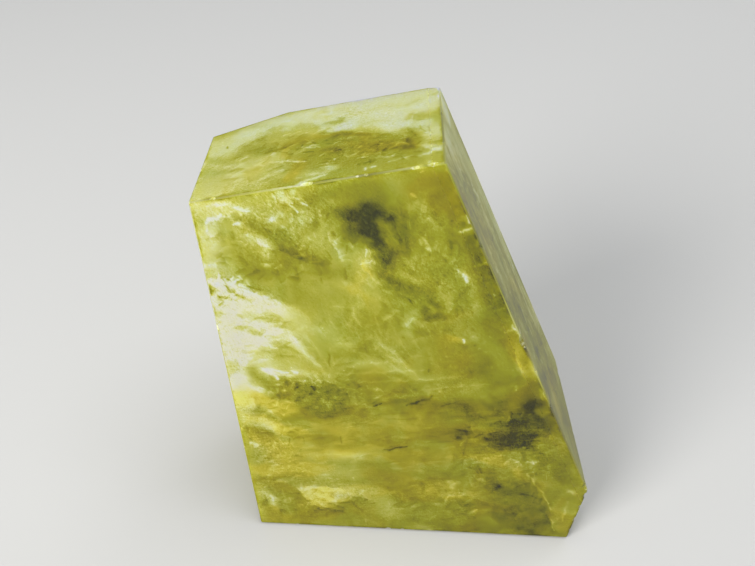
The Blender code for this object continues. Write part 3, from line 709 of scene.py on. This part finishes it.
# the streaks are cracks and needles, and the whitest of them are partly painted glints
cracks_and_glints = STREAKS + grow(THICKETS, random.Random(SEED + 1))
flakes = FLAKES + grow(DRIFTS, random.Random(SEED + 3))
print("streaks and flakes:", lens_count(cracks_and_glints), lens_count(flakes))

# %% [markdown]
# A streak is bent and uneven along its length. One slow wave moves its middle line, a second makes
# it swell and thin out, and a third makes it fade in places. A flake has the same straight frame.
# Both know two things: how strongly they cover a place, and where the mesh needs points to show it.

# %% One streak, along its length
BEND = 0.8               # how far the middle line strays, in half widths
WAVES_PER_MM = 0.8
GLOW_WIDTH = 3.2         # the glow round a streak, in half widths
GLOW = 0.22
BRINK = 0.06             # half the width of a flake's sharp side, in millimetres
WAVE_STEP = 0.24         # millimetres between two readings of a wave


def smooth(value, start, end):
    """0 before start and 1 after end, with soft ends."""
    part = np.clip((value - start) / (end - start), 0.0, 1.0)
    return part * part * (3.0 - 2.0 * part)


class Streak:
    """The straight frame of a lens and the waves that ride on it."""

    def __init__(self, lens_shape):
        start_across, start_up, end_across, end_up, self.half = lens_shape
        self.middle = np.array(((start_across + end_across) / 2.0, (start_up + end_up) / 2.0))
        run = np.array((end_across - start_across, end_up - start_up))
        length = float(np.hypot(*run))
        self.along = run / length
        self.aside = np.array((-self.along[1], self.along[0]))
        self.reach = length / 2.0 + self.half
        self.spots = np.linspace(-self.reach, self.reach, max(5, int(2.0 * self.reach / WAVE_STEP)))
        self.taper = np.clip(1.0 - (self.spots / self.reach) ** 2, 0.0, 1.0) ** 0.5
        seed = start_across * 3.1 + end_up * 5.7
        self.line = self.waves(seed, 0.0) * self.half * 2.0 * BEND
        self.width = self.half * self.taper * (0.85 + 0.7 * self.waves(seed, 1.0)) + 0.02
        self.strength = np.clip(0.85 + 1.1 * self.waves(seed, 2.0), 0.2, 1.0)

    def waves(self, seed, row):
        """A wave between about -1 and 1 along the streak."""
        places = [Vector((spot * WAVES_PER_MM, seed, row * 17.1)) for spot in self.spots]
        return np.array([noise.noise(place) for place in places])

    def points(self):
        """Points in rows along the streak, so that the mesh has somewhere to hold its colour."""
        count = max(2, int(2.0 * self.reach / max(0.26, self.half)))
        made = []
        for spot in np.linspace(-self.reach, self.reach, count + 1):
            line = np.interp(spot, self.spots, self.line)
            width = np.interp(spot, self.spots, self.width)
            for row in (-1.6, 0.0, 1.6):
                made.append(self.middle + self.along * spot + self.aside * (line + row * width))
        return made

    def share(self, places):
        """How strongly the streak covers these places: rows of across and up."""
        offset = places - self.middle
        spots = offset @ self.along
        away = np.abs(offset @ self.aside - np.interp(spots, self.spots, self.line))
        away = away / np.interp(spots, self.spots, self.width)
        inside = np.abs(spots) < self.reach
        core = (1.0 - smooth(away, 0.3, 1.5)) * np.interp(spots, self.spots, self.strength)
        return np.maximum(core, (1.0 - smooth(away, 0.0, GLOW_WIDTH)) * GLOW) * inside


# %% One flake
class Flake(Streak):
    """A broken surface inside the stone: it ends sharply on one long side and fades on the other."""

    def outline(self):
        """Half width along the flake, ragged."""
        return self.half * self.taper * (0.9 + 0.5 * self.waves(self.middle[0] * 7.3, 3.0)) + 0.03

    def points(self):
        """Points in rows, close together at the sharp side."""
        count = max(3, int(2.0 * self.reach / 0.30))
        width = self.outline()
        made = []
        for spot in np.linspace(-self.reach, self.reach, count + 1)[1:-1]:
            edge = np.interp(spot, self.spots, width)
            for row in (edge - BRINK, edge + BRINK):
                made.append(self.middle + self.along * spot + self.aside * row)
        return made

    def share(self, places):
        """How strongly the flake covers these places."""
        offset = places - self.middle
        spots = offset @ self.along
        edge = np.interp(spots, self.spots, self.outline())
        aside = offset @ self.aside
        body = smooth(aside / edge, -1.1, 0.9) * (1.0 - smooth(aside, edge - BRINK, edge + BRINK))
        return body * (1.0 - smooth(np.abs(spots) / self.reach, 0.6, 1.0))


# %% [markdown]
# ## A mesh that can hold the colours
#
# The milk and the warmth are kept at the corners of the mesh, so a polished face needs many corners,
# and it needs them where the colour changes. Subdividing would spread them evenly and waste most.
# So each face is cut out, filled with an even field of points and the rows of its streaks, and
# triangulated again. The points lie in the plane of the face, so its shape doesn't change at all.

# %% The points that fill a face, finer on the faces that are looked at most
SPACING = dict.fromkeys(SIDES, 0.80)     # millimetres between two points
SPACING.update(front=0.40, top=0.40, right=0.55, base=2.00)
ROW_HEIGHT = 0.87        # rows lie closer than columns, because the points are staggered
CROWDED = 0.17           # millimetres: points closer together than this don't help
SLIVER = 0.2             # square millimetres: a part of a face this small stays as it is


def flat(pane, point):
    """A point of a face on the ruler of that face, in millimetres."""
    offset = (point - pane.centre) / MM
    return (offset.dot(pane.across), offset.dot(pane.up))


def even_field(loop, spacing, dice):
    """Staggered points over the box of an outline, each moved a little."""
    lowest = np.min(loop, axis=0)
    highest = np.max(loop, axis=0)
    rows = int((highest[1] - lowest[1]) / (spacing * ROW_HEIGHT))
    columns = int((highest[0] - lowest[0]) / spacing)
    field = []
    for row in range(rows):
        for column in range(columns):
            across = lowest[0] + (column + 0.5 * (row % 2) + dice.uniform(0.1, 0.4)) * spacing
            up = lowest[1] + (row + dice.uniform(0.3, 0.7)) * spacing * ROW_HEIGHT
            field.append((across, up))
    return field


def thinned(field):
    """The points, with one left over wherever several crowd together."""
    kept = {}
    for across, up in field:
        kept.setdefault((round(across / CROWDED), round(up / CROWDED)), (across, up))
    return list(kept.values())


# %% Fill one face
def split_rim(face, spacing):
    """Cut the long sides of a face into short ones."""
    for edge in list(face.edges):
        parts = int(edge.calc_length() / MM / spacing)
        for part in range(parts, 1, -1):
            bmesh.utils.edge_split(edge, edge.verts[0], 1.0 / part)


def fill(shape, face, side, dice):
    """Put triangles in the place of a flat face."""
    pane = panes[side]
    split_rim(face, SPACING[side])
    rim = list(face.verts)
    loop = [flat(pane, vert.co) for vert in rim]
    field = []
    for kind, group in ((Streak, cracks_and_glints), (Flake, flakes)):
        for mark in group:
            if mark.side == side:
                for lens_shape in mark.lenses:
                    field.extend(kind(lens_shape).points())
    field.extend(even_field(loop, SPACING[side], dice))
    points = [Vector(point) for point in loop + thinned(field)]
    filled = delaunay_2d_cdt(points, [], [range(len(rim))], 1, 1e-6)
    spots, triangles, sources = filled[0], filled[2], filled[3]
    shape.faces.remove(face)
    corners = {}
    for triangle in triangles:
        for index in triangle:
            if index not in corners:
                source = sources[index][0] if sources[index] else len(rim)
                if source < len(rim):
                    corners[index] = rim[source]
                else:
                    corners[index] = shape.verts.new(pane.at(spots[index].x, spots[index].y))
        shape.faces.new([corners[index] for index in triangle])


def refill(shape, side, dice):
    """Triangulate one polished face again, through its field of points and its streaks."""
    pane = panes[side]
    parts = [face for face in shape.faces if pane.holds(face)]
    bmesh.ops.dissolve_faces(shape, faces=parts, use_verts=False)
    parts = [face for face in shape.faces if pane.holds(face)]
    for face in parts:
        if face.calc_area() > SLIVER * MM * MM:
            fill(shape, face, side, dice)


# %% Fill all faces
dice = random.Random(SEED + 2)
shape = bmesh.new()
shape.from_mesh(body.data)
for side in SPACING:
    refill(shape, side, dice)
bmesh.ops.triangulate(shape, faces=[face for face in shape.faces if len(face.verts) > 3])
shape.normal_update()
open_edges = sum(len(edge.link_faces) != 2 for edge in shape.edges)
fine_mesh = bpy.data.meshes.new("citrine_body")
shape.to_mesh(fine_mesh)
shape.free()
body.data = fine_mesh
print("body triangles:", len(fine_mesh.polygons), "open edges:", open_edges)

# %% [markdown]
# ## Painting
#
# Every corner of the mesh gets its two numbers: the ground first, then the washes, then the soft
# mottling that all quartz of this kind has, and the patches and streaks over it. The washes are
# pushed about by slow noise, which turns a plain lens into a drifting cloud.
#
# Noise nodes in a material could do the mottling, but not the marks, of which there are thousands.
# NumPy works on all corners at once, so the painting takes seconds.

# %% Noise at all corners at once
places = np.empty(len(fine_mesh.vertices) * 3)
fine_mesh.vertices.foreach_get("co", places)
places = places.reshape(-1, 3) / MM


def cloudy(where, scale, octaves, row=0.0):
    """Cloudy noise, mostly between -1 and 1, at so many lumps to the millimetre."""
    shift = Vector((row * 31.7, row * 11.3, row * 5.9))
    values = [noise.fractal(Vector(point) * scale + shift, 1.0, 2.0, octaves) for point in where]
    return np.array(values) * 1.6


def pushed(where, scale, octaves, distance):
    """The places, each pushed some way by noise."""
    push = np.stack([cloudy(where, scale, octaves, row) for row in (1.0, 2.0, 3.0)], axis=1)
    return where + push * distance


def stretched(where, way, along, aside):
    """The places, drawn out along a way: noise read there runs in streaks along it."""
    way = np.array(way) / np.linalg.norm(way)
    return where * aside - np.outer(where @ way, way) * (aside - along)


# %% The noises of this stone
LYING = (1.0, 0.1, 0.14)          # the grain of the lower half runs along the base
SLANTED = (0.62, 0.2, -0.76)      # and that of the upper half down to the right

far = pushed(places, scale=0.12, octaves=2, distance=1.6)
near = pushed(places, scale=0.7, octaves=2, distance=0.18)
clouds = cloudy(far, scale=0.10, octaves=2, row=4.0)
lumps = cloudy(pushed(far, 0.4, 2, 0.7), scale=0.30, octaves=3, row=5.0)
lying = cloudy(stretched(far, LYING, along=0.10, aside=0.75), scale=1.0, octaves=2, row=6.0)
slanted = cloudy(stretched(far, SLANTED, along=0.12, aside=0.60), scale=1.0, octaves=2, row=7.0)
veils = 1.0 - np.abs(cloudy(far, scale=0.16, octaves=3, row=8.0))
print("corners to paint:", len(places))

# %% Laying the marks
MARK_DEPTH = 5.0         # how deep a mark reaches behind its face, in millimetres
WASH_RIM = (0.25, 1.7)   # a wash is full inside this share of its lens, and gone past that one
PATCH_RIM = (0.3, 1.6)


def on_ruler(side, where):
    """Across, up and nearness to a face for all places."""
    pane = panes[side]
    offset = where - np.array(pane.centre / MM)
    ruler = np.stack([offset @ np.array(pane.across), offset @ np.array(pane.up)], axis=1)
    return ruler, smooth(offset @ np.array(pane.normal), -MARK_DEPTH, -MARK_DEPTH * 0.4)


def lay_lenses(where, group, rim, grit):
    """Add up washes or patches, with some grit that makes their rims uneven."""
    rulers = {side: on_ruler(side, where) for side in panes}
    milk = np.zeros(len(where))
    warmth = np.zeros(len(where))
    for mark in group:
        ruler, close = rulers[mark.side]
        away = np.full(len(where), np.inf)
        for lens_shape in mark.lenses:
            frame_of = Streak(lens_shape)
            offset = ruler - frame_of.middle
            lengthwise = offset @ frame_of.along / frame_of.reach
            widthwise = offset @ frame_of.aside / frame_of.half
            away = np.minimum(away, np.hypot(lengthwise, widthwise))
        share = (1.0 - smooth(away + grit, *rim)) * close
        milk += share * mark.milk
        warmth += share * mark.warmth
    return milk, warmth


def lay_streaks(kind, group):
    """Add up streaks or flakes. The corners are sorted across, so each mark looks at a few only."""
    milk = np.zeros(len(places))
    warmth = np.zeros(len(places))
    for side in panes:
        ruler, close = on_ruler(side, places)
        skin = np.flatnonzero(close > 0.9)
        skin = skin[np.argsort(ruler[skin, 0])]
        across = ruler[skin, 0]
        for mark in group:
            if mark.side == side:
                for lens_shape in mark.lenses:
                    line = kind(lens_shape)
                    box = line.reach + GLOW_WIDTH * line.half
                    first, last = np.searchsorted(across, (line.middle[0] - box, line.middle[0] + box))
                    strip = skin[first:last]
                    strip = strip[np.abs(ruler[strip, 1] - line.middle[1]) < box]
                    share = line.share(ruler[strip])
                    milk[strip] += share * mark.milk
                    warmth[strip] += share * mark.warmth
    return milk, warmth


# %% The ground, the washes and the mottling
LOW_HALF = (44.0, 30.0)  # millimetres above the base, where the grain turns from slanted to lying
GROUND = (0.07, -0.10)   # the milk on the left and on the right: the left is lighter, partly painted light from the left
MOTTLING = {"clouds": 0.06, "lumps": 0.11, "lying": 0.06, "slanted": 0.05, "veils": 0.12}
CALM_TOP = 0.85          # the top shows one even veil with a painted sheen on it, so it is mottled this much less

height = places[:, 2]
low_half = smooth(height, *LOW_HALF)
top_share = on_ruler("top", places)[1]
calm = 1.0 - CALM_TOP * top_share
milk, warmth = lay_lenses(far, WASHES, WASH_RIM, grit=lumps * 0.2)
# partly painted light: the left is lighter and the right darker
milk += GROUND[0] + (GROUND[1] - GROUND[0]) * smooth(places[:, 0], -6.0, 30.0)
milk += (MOTTLING["clouds"] * clouds + MOTTLING["lumps"] * lumps) * calm
milk += (MOTTLING["lying"] * lying * low_half + MOTTLING["slanted"] * slanted * (1.0 - low_half)) * calm
milk += MOTTLING["veils"] * smooth(veils, 0.82, 0.98) * smooth(clouds, -0.3, 0.4) * calm

# %% How the colour wanders from sage to amber
HUES = 0.6               # how far it wanders from place to place
GOLDEN_FOOT = 0.3        # how much warmer the lower half is
BLEACHED = 0.7           # how much of both is lost where the quartz is white
SAGE = 0.15              # how much cooler all of the lower half is, and the upper half twice as much

hues = HUES * cloudy(far, scale=0.14, octaves=3, row=9.0)
bleach = 1.0 - BLEACHED * smooth(milk, 0.3, 0.6)
warmth += (hues + GOLDEN_FOOT * low_half) * bleach - SAGE * (2.0 - low_half)
print("warmth of the ground: mean", round(float(warmth.mean()), 3), "spread", round(float(warmth.std()), 3))

# %% [markdown]
# Smoke is quartz that is clear and dark all the way down. A crack inside it has nothing milky to
# light up, so the streaks and flakes nearly vanish where the patches are smoky.

# %% The patches, the flakes and the streaks
HIDDEN = 0.85            # how much of a streak the smoke hides
SHEEN_VEIL_MILK = 0.64         # the veil on the top is one thin sheet with a painted sheen on it, so above this milk
SHEEN_VEIL_EVENED = 0.7        # so much of what is left is taken off

patch_milk, patch_warmth = lay_lenses(near, PATCHES, PATCH_RIM, grit=lumps * 0.05)
flake_milk, flake_warmth = lay_streaks(Flake, flakes)
crack_and_glint_milk, crack_and_glint_warmth = lay_streaks(Streak, cracks_and_glints)
smoke = smooth(-patch_milk, 0.2, 0.7)
milk += patch_milk + (flake_milk + crack_and_glint_milk) * (1.0 - HIDDEN * smoke)
warmth += patch_warmth + flake_warmth + crack_and_glint_warmth
# painted sheen: the pale veil on the top is evened
milk -= SHEEN_VEIL_EVENED * np.maximum(milk - SHEEN_VEIL_MILK, 0.0) * top_share
print("smoky corners:", int(np.count_nonzero(smoke > 0.5)))

# %% [markdown]
# The bevel along an edge is a third of a millimetre wide, and it turns to the lamps. Clean quartz
# would shine there like a wire. So the line of an edge that faces up is painted with shade, with gaps
# where it is worn, and a fine white powder of rubbing lies over it. The band beside every edge is
# given painted shade too, broken by lighter milk.

# %% Worn edges, with painted shade along them
# painted shade and milk in a band along every edge: darker on the whole, against the lamp light the edges
# catch, lighter where the noise is high
EDGE_MILK_AND_SHADE = 0.35
LINE_SHADE = 0.28        # painted shade: how much darker the line of an edge is where it is sound
SOUND_POWDER = 0.35      # the powder on a sound edge: on a worn one it is 1


def near_edges():
    """A band along every edge, mostly below 0 so that it paints shade, with lighter gaps, and the line of
    an upturned edge, 1 on it and 0 some way from it.
    """
    share = np.zeros(len(places))
    line = np.zeros(len(places))
    for start, end, out in edges:
        start = np.array(start) / MM
        along = np.array(end) / MM - start
        part = np.clip((places - start) @ along / (along @ along), 0.0, 1.0)
        away = np.linalg.norm(places - start - np.outer(part, along), axis=1)
        share = np.maximum(share, 1.0 - smooth(away, 0.1, 0.75))
        line = np.maximum(line, (1.0 - smooth(away, 0.1, 0.35)) * smooth(out.z, 0.2, 0.7))
    return share * (cloudy(places, scale=0.35, octaves=3, row=11.0) * 2.0 - 0.9), line


edge_milk_and_shade, edge_line = near_edges()
worn_line = smooth(cloudy(places, scale=0.30, octaves=3, row=13.0), -0.1, 0.5)
# painted shade: the band along the edges and the line of an upturned edge are darkened, except where the
# line is worn
milk += EDGE_MILK_AND_SHADE * edge_milk_and_shade - LINE_SHADE * edge_line * (1.0 - worn_line)
rubbed = edge_line * (SOUND_POWDER + (1.0 - SOUND_POWDER) * worn_line)
milk = np.clip(milk, -1.0, 1.0)
warmth = np.clip(warmth, -1.0, 1.0)
print("milk: mean", round(float(milk.mean()), 3), "spread", round(float(milk.std()), 3))

# %% [markdown]
# Two more numbers go with them. Where the quartz is crumbly, the materials may add fine grain to the
# milk. Where it is satin, the polish was left unfinished: on the narrow right face, and on the edges.

# %% How crumbly each place is
CRUMBLY = marks("front", (
    (0.8, 0.0, (-33, 28, -14, 29, 4), (-32, 14, -24, 12, 3), (-22, -6, -13, -9, 3)),
    (0.7, 0.0, (16, -18, 28, -16, 5), (-26, -33, -8, -35, 5), (-28, -16, -22, -26, 4)),
    (0.4, 0.0, (18, -24, 26, -24, 5), (6, -33, 18, -36, 4)),
    (0.4, 0.0, (-6, 22, 8, 20, 8), (4, 12, 8, 8, 4), (-22, 21, -12, 21, 4)),
)) + marks("top", (
    (0.35, 0.0, (-16, 6, 8, 0, 6)),
)) + marks("rear", (
    (0.6, 0.0, (-14, 10, 10, -10, 10)),
)) + marks("right", (
    (0.5, 0.0, (-8, 14, 2, -20, 5)),
)) + marks("left", (
    (0.6, 0.0, (-4, 20, 8, -10, 10)),
))
PLAIN = 0.42             # how crumbly the quartz is between the marks
PATCHY = 0.35            # and how much that wanders

crumbly = lay_lenses(far, CRUMBLY, PATCH_RIM, grit=lumps * 0.3)[0]
crumbly = np.clip(PLAIN + PATCHY * cloudy(far, scale=0.15, octaves=2, row=10.0) + crumbly, 0.05, 1.2)

EDGE_SATIN = 0.6
satin = np.maximum(smooth(on_ruler("right", places)[1], 0.97, 1.0), edge_line * EDGE_SATIN)

# %% Keep one number of each kind for every corner
numbers = {"milk": milk, "warmth": warmth, "crumbly": crumbly}
numbers.update({"low_half": low_half, "satin": satin, "rubbed": rubbed})
for name, values in numbers.items():
    layer = fine_mesh.attributes.new(name, "FLOAT", "POINT")
    layer.data.foreach_set("value", values)
    print(name, "from", round(float(values.min()), 2), "to", round(float(values.max()), 2))

# %% [markdown]
# ## Writing materials as formulas
#
# What is left for the materials is what is finer than the mesh. A finish is arithmetic: take a
# noise, sharpen it, multiply it by a mask. Wiring that up node by node hides the idea, so one small
# class stands for a socket and lets Python's own + - * add the nodes.

# %% The wire class
SPREAD_TYPES = ("RGBA", "VECTOR")


class Wire:
    """One output socket of a material, to be used in formulas like a number."""

    def __init__(self, tree, socket):
        self.tree = tree
        self.socket = socket

    def node(self, kind, settings, inputs, out=0):
        """Any other node: its settings first, then the values or wires of its sockets."""
        made = self.tree.nodes.new(kind)
        for name, value in settings.items():
            if name == "stops":
                set_stops(made.color_ramp, value)
            else:
                setattr(made, name, value)
        for name, value in inputs.items():
            plug(self.tree, made.inputs[name], value)
        return Wire(self.tree, made.outputs[out])

    def combine(self, operation, first, second):
        """Math between numbers, and Vector Math as soon as a colour or a place takes part."""
        wires = [value for value in (first, second) if isinstance(value, Wire)]
        wide = isinstance(first, tuple) or isinstance(second, tuple)
        wide = wide or any(wire.socket.type in SPREAD_TYPES for wire in wires)
        kind = "ShaderNodeVectorMath" if wide else "ShaderNodeMath"
        return self.node(kind, {"operation": operation}, {0: first, 1: second})

    def __add__(self, other):
        return self.combine("ADD", self, other)

    def __radd__(self, other):
        return self.combine("ADD", other, self)

    def __sub__(self, other):
        return self.combine("SUBTRACT", self, other)

    def __rsub__(self, other):
        return self.combine("SUBTRACT", other, self)

    def __mul__(self, other):
        return self.combine("MULTIPLY", self, other)

    def __rmul__(self, other):
        return self.combine("MULTIPLY", other, self)


def plug(tree, socket, value):
    """Link a wire to a socket, or set the socket to a plain value."""
    if isinstance(value, Wire):
        tree.links.new(value.socket, socket)
    elif socket.type == "RGBA" and len(value) == 3:
        socket.default_value = (*value, 1.0)
    elif socket.type == "VECTOR" and isinstance(value, (int, float)):
        socket.default_value = (value, value, value)
    else:
        socket.default_value = value


def set_stops(ramp, stops):
    """Give a colour ramp its stops: (position, colour) pairs."""
    elements = ramp.elements
    while len(elements) < len(stops):
        elements.new(0.5)
    for element, (position, colour) in zip(elements, stops):
        element.position = position
        element.color = (*colour, 1.0)


# %% Words for the patterns
def fade(value, start, end, most=1.0):
    """0 where value is at start and most where it is at end, with soft ends."""
    settings = {"interpolation_type": "SMOOTHSTEP"}
    inputs = {"Value": value, "From Min": start, "From Max": end, "To Max": most}
    return value.node("ShaderNodeMapRange", settings, inputs)


def grain(place, scale, detail=2.0, roughness=0.6):
    """Cloudy noise between 0 and 1, at so many lumps to the millimetre."""
    inputs = {"Vector": place, "Scale": scale, "Detail": detail, "Roughness": roughness}
    return place.node("ShaderNodeTexNoise", {}, inputs)


def mix(share, first, second):
    """The first colour where share is 0 and the second where it is 1."""
    settings = {"data_type": "RGBA"}
    return share.node("ShaderNodeMix", settings, {0: share, 6: first, 7: second}, out=2)


def new_material(name):
    """A material, and a wire of the place on the object in millimetres."""
    material = bpy.data.materials.new(name)
    material.use_nodes = True
    loose = Wire(material.node_tree, None)
    place = loose.node("ShaderNodeTexCoord", {}, {}, out="Object") * (1.0 / MM)
    return material, place


def set_shader(material, sockets):
    """Give the Principled shader of a material its wires and values."""
    shader = material.node_tree.nodes["Principled BSDF"]
    for name, value in sockets.items():
        plug(material.node_tree, shader.inputs[name], value)
    print(material.name, "nodes:", len(material.node_tree.nodes))


# %% [markdown]
# The faults could be surfaces inside the stone, but then all light has to find its way to them
# through a polished face, which is slow and grainy. Here the haze does that work: the clear faces
# are one Principled shader whose subsurface share is the haze that fills the stone, and the yellow
# of the deep stone is absorption in the volume. The colour comes from the painted milk, with crumbs
# and hairs too fine for the mesh added to it, looked up on the scale of quartz colours.

# %% The colour scale and the fine grain
QUARTZ_SCALE = (
    (0.00, (0.036, 0.040, 0.002)),
    (0.20, (0.205, 0.200, 0.002)),
    (0.40, (0.350, 0.345, 0.002)),
    (0.50, (0.430, 0.432, 0.008)),
    (0.67, (0.610, 0.616, 0.090)),
    (0.83, (0.810, 0.822, 0.320)),
    (1.00, (0.960, 0.970, 0.740)),
)
WARMER = (1.08, 0.97, 0.36)
# the cool end of the warmth: sage, and the cold white of the painted glints
COOLER = (0.95, 1.01, 1.35)
RUBBED = (0.46, 0.47, 0.36)       # the fine white powder of an edge that hands have rubbed
POWDERED = 0.6           # how much of the powder shows on a rubbed edge
CRUMBS = 0.90            # how much milk the crumbs add and take
HAIRS = 0.30             # and the hairs


def painted(start, name):
    """One number kept at the corners of the mesh."""
    return start.node("ShaderNodeAttribute", {"attribute_name": name}, {}, out="Fac")


def drawn_out(place, way, along, aside):
    """Places drawn out along a way, for noise that runs in streaks."""
    way = Vector(way).normalized()
    inputs = {0: place, 1: tuple(way)}
    reach = place.node("ShaderNodeVectorMath", {"operation": "DOT_PRODUCT"}, inputs, out="Value")
    steps = reach.node("ShaderNodeCombineXYZ", {}, {0: reach, 1: reach, 2: reach})
    return place * (aside, aside, aside) - steps * tuple(way * (aside - along))


def size_of(value):
    """The value without its sign: rounded lumps with sharp lines between them."""
    return value.node("ShaderNodeMath", {"operation": "ABSOLUTE"}, {0: value})


def quartz_colour(place):
    """The colour of the quartz at every place of its surface."""
    shard = drawn_out(place, SLANTED, along=0.9, aside=1.9)
    hollows = size_of(grain(shard, 1.0, detail=4.0, roughness=0.75) - 0.5)
    crests = size_of(grain(shard + 40.0, 1.0, detail=4.0, roughness=0.75) - 0.5)
    crumbs = hollows - crests
    lying = grain(drawn_out(place, LYING, along=0.35, aside=3.0), 1.0) - 0.5
    slanted = grain(drawn_out(place, SLANTED, along=0.4, aside=2.4), 1.0) - 0.5
    low_half = painted(place, "low_half")
    hairs = lying * low_half + slanted * (1.0 - low_half)
    milk = painted(place, "milk") + (crumbs * CRUMBS + hairs * HAIRS) * painted(place, "crumbly") * 2.0
    scale = milk.node("ShaderNodeValToRGB", {"stops": QUARTZ_SCALE}, {0: milk * 0.5 + 0.5})
    warmth = painted(place, "warmth")
    tint = mix(fade(warmth, 0.0, 1.0), scale, scale * WARMER)
    tint = mix(fade(warmth, 0.0, -1.0), tint, tint * COOLER)
    return mix(painted(place, "rubbed") * POWDERED, tint, RUBBED)


# %% The clear, hazy quartz
QUARTZ_IOR = 1.544
CLEARNESS = 0.55         # the share of the light that goes through instead of being thrown back
HAZE_DEPTH = 0.005       # metres that light wanders in the haze before it comes out again
HAZE_TONE = (1.0, 0.95, 0.35)     # blue doesn't get as far as red and green
ABSORB_TONE = (0.76, 0.73, 0.06)
ABSORB_DENSITY = 75.0    # per metre
POLISH = 0.035           # the roughness of a polished face
SATIN = 0.30             # how much rougher the satin places are
GLOSS = 0.18
WAVINESS = 0.03          # how high the waves of the hand polish are, in millimetres
RIPPLES = 0.04           # the share of small waves among them
SCRATCHES = 0.5          # and that of the scratches where the face is satin

quartz, place = new_material("citrine quartz")
satin = painted(place, "satin")
polishing = panes["right"].up + panes["right"].across * 0.25
scratches = grain(drawn_out(place, polishing, along=0.10, aside=3.0), 1.0, roughness=0.7)
waves = grain(place, 0.14) + grain(place, 1.3) * RIPPLES + scratches * satin * SCRATCHES
bump = place.node("ShaderNodeBump", {}, {"Distance": WAVINESS * MM, "Height": waves})
depths = {"Color": ABSORB_TONE, "Density": ABSORB_DENSITY}
shell = quartz.node_tree.nodes["Material Output"]
plug(quartz.node_tree, shell.inputs["Volume"], place.node("ShaderNodeVolumeAbsorption", {}, depths))
set_shader(quartz, {
    "Base Color": quartz_colour(place),
    "Normal": bump,
    "Roughness": satin * SATIN + POLISH,
    "Specular IOR Level": GLOSS,
    "IOR": QUARTZ_IOR,
    "Transmission Weight": CLEARNESS,
    "Subsurface Weight": 1.0,
    "Subsurface Radius": HAZE_TONE,
    "Subsurface Scale": HAZE_DEPTH,
})

# %% [markdown]
# A nick is broken quartz: many tiny shell-shaped steps that scatter the light, so it looks frosted
# where the polish beside it is clear. Each step would be far too small to model. A rough bump and
# some white powder over the quartz's own colour, painted darker as the shade between the steps, look
# the same, and no light has to go through.

# %% The frosted nicks
SPLINTERS = 0.35         # how high the steps of the broken surface are, in millimetres
BROKEN_ROUGHNESS = 0.30
POWDER_TONE = (0.62, 0.64, 0.46)
IN_SHADE = 0.7           # how much of its colour quartz keeps in the painted shade between the steps

frost, place = new_material("worn quartz edge")
powder = fade(grain(place, 2.6, detail=4.0, roughness=0.75), 0.48, 0.62, most=0.5)
steps = grain(place, 1.8, detail=3.0, roughness=0.7)
set_shader(frost, {
    "Base Color": mix(powder, quartz_colour(place) * IN_SHADE, POWDER_TONE),
    "Normal": place.node("ShaderNodeBump", {}, {"Distance": SPLINTERS * MM, "Height": steps}),
    "Roughness": BROKEN_ROUGHNESS,
    "IOR": QUARTZ_IOR,
})

# %% [markdown]
# ## Which finish lies where
#
# The stone is clear in its polished planes and on the even round of a sound edge, and broken
# everywhere else. Picked by hand, the broken triangles would have to be picked again after every
# change, so each triangle is asked where it lies. Then the stone takes the place of the solid.

# %% Clear or worn
ROUND_WIDTH = 0.45 * MM  # how far the round of an edge reaches from the planes beside it
ALONG_EDGE = 0.004       # a sound round runs along its edge, and a nick doesn't


def is_clear(polygon):
    """True on a polished face and on the even round between two of them."""
    beside = []
    for normal, point in polished:
        gap = abs(normal.dot(polygon.center - point))
        if gap < FLAT_ENOUGH and normal.dot(polygon.normal) > SAME_WAY:
            return True
        if gap < ROUND_WIDTH:
            beside.append(normal)
    for first, second in combinations(beside, 2):
        along = first.cross(second)
        if along.length > SPLAY and abs(along.normalized().dot(polygon.normal)) < ALONG_EDGE:
            return True
    return False


body.data.materials.append(quartz)
body.data.materials.append(frost)
for polygon in body.data.polygons:
    polygon.material_index = 0 if is_clear(polygon) else 1
    polygon.use_smooth = False
worn = sum(polygon.material_index for polygon in body.data.polygons)
print("worn triangles:", worn, "of", len(body.data.polygons))
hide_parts("crystal")
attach(body, "root")
